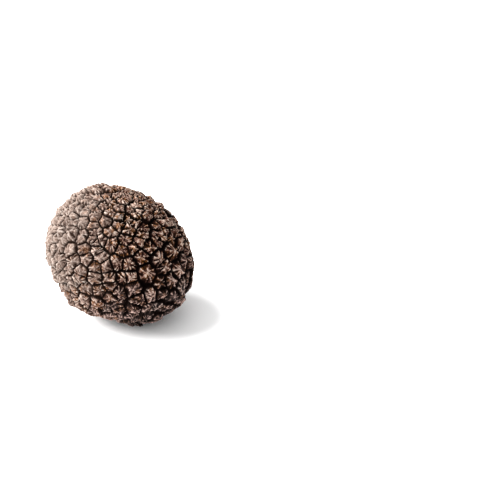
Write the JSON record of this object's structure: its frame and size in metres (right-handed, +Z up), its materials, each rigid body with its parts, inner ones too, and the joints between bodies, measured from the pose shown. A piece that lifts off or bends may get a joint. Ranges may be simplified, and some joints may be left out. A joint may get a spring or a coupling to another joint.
{
  "type": "black truffle",
  "caption": "Whole black truffle: a round, slightly tilted fungus fruit body covered in polygonal warts, resting on a small flat spot.",
  "frame": {"origin": "middle of the bottom of the bounding box, on the plane that the truffle rests on", "axes": "+Z up, the truffle's shortest extent; the front, with the largest warts at its right, faces -Y; +X to the right seen from the front"},
  "size_m": [0.0502, 0.0492, 0.0443],
  "materials": {
    "skin": "matte"
  },
  "bodies": {
    "root": {"truffle": "skin"}
  },
  "joints": []
}
